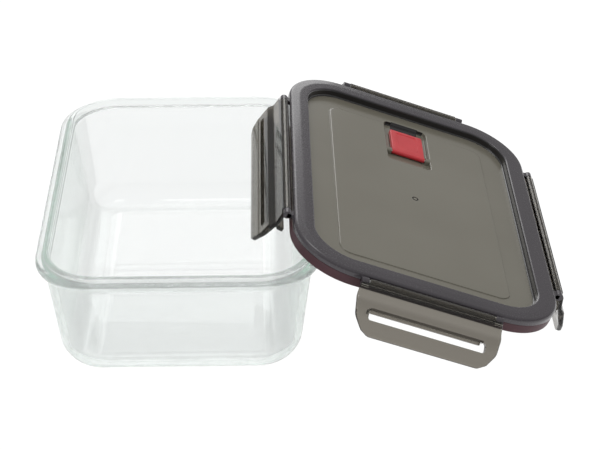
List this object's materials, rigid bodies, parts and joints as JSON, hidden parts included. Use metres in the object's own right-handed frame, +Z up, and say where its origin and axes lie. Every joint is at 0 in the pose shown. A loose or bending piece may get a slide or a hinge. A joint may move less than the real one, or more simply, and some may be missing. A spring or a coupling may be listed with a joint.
{
  "type": "glass food storage box with clip-down lid",
  "caption": "Rectangular glass food box, with its clip-down lid propped on the rim; the lid swings over to close, its clips lock under the flange and a vent flap lifts.",
  "frame": {"origin": "centre of the glass box's flat base", "axes": "+Z up; +X towards the side on which the lid is propped; +Y towards the back, the end that has the lid's vent"},
  "size_m": [0.2832, 0.2554, 0.0869],
  "materials": {
    "clear_glass": "polished clear borosilicate glass, faint green in its thick edges",
    "smoke_plastic": "smoke-grey see-through plastic, satin",
    "clip_plastic": "olive-grey see-through plastic, polished",
    "maroon_silicone": "matt soft silicone",
    "clear_silicone": "matt soft silicone",
    "red_plastic": "satin red plastic",
    "pin_steel": "drawn steel wire"
  },
  "bodies": {
    "bowl": {"glass_bowl": "clear_glass"},
    "left_pin": {"hinge_pin_left": "pin_steel"},
    "lid": {"lid_shell": "smoke_plastic", "lid_gasket": "maroon_silicone", "hinge_pin_right": "pin_steel", "hinge_pin_back": "pin_steel", "hinge_pin_front": "pin_steel", "vent_flap_pin": "pin_steel"},
    "right_clip": {"clip_right": "clip_plastic"},
    "back_clip": {"clip_back": "clip_plastic"},
    "left_clip": {"clip_left": "clip_plastic"},
    "front_clip": {"clip_front": "clip_plastic"},
    "vent": {"vent_flap": "red_plastic", "vent_plug": "clear_silicone"}
  },
  "joints": [
    {"name": "lid_swing", "type": "hinge", "parent": "bowl", "child": "left_pin", "pos_m": [-0.01, 0, 0.073], "axis": [0, -1, 0], "range_deg": [0, 170.5]},
    {"name": "lid_level", "type": "hinge", "parent": "left_pin", "child": "lid", "pos_m": [0.05726, 0, 0.08426], "axis": [0, -1, 0], "range_deg": [-150.2, 0]},
    {"name": "right_clip_hinge", "type": "hinge", "parent": "lid", "child": "right_clip", "pos_m": [0.20395, 0, 0.03], "axis": [0, -1, 0], "range_deg": [-12, 88]},
    {"name": "back_clip_hinge", "type": "hinge", "parent": "lid", "child": "back_clip", "pos_m": [0.13061, 0.1072, 0.05713], "axis": [0.9379, 0, -0.3469], "range_deg": [-30, 70]},
    {"name": "left_clip_hinge", "type": "hinge", "parent": "lid", "child": "left_clip", "pos_m": [0.05726, 0, 0.08426], "axis": [0, 1, 0], "range_deg": [-10, 90]},
    {"name": "front_clip_hinge", "type": "hinge", "parent": "lid", "child": "front_clip", "pos_m": [0.13061, -0.1072, 0.05713], "axis": [-0.9379, 0, 0.3469], "range_deg": [-37, 63]},
    {"name": "vent_flap_hinge", "type": "hinge", "parent": "lid", "child": "vent", "pos_m": [0.12964, 0.0476, 0.0545], "axis": [0.9379, 0, -0.3469], "range_deg": [0, 95]}
  ],
  "couplings": [
    {"joint": "lid_level", "follows": "lid_swing", "ratio": -0.88094}
  ]
}
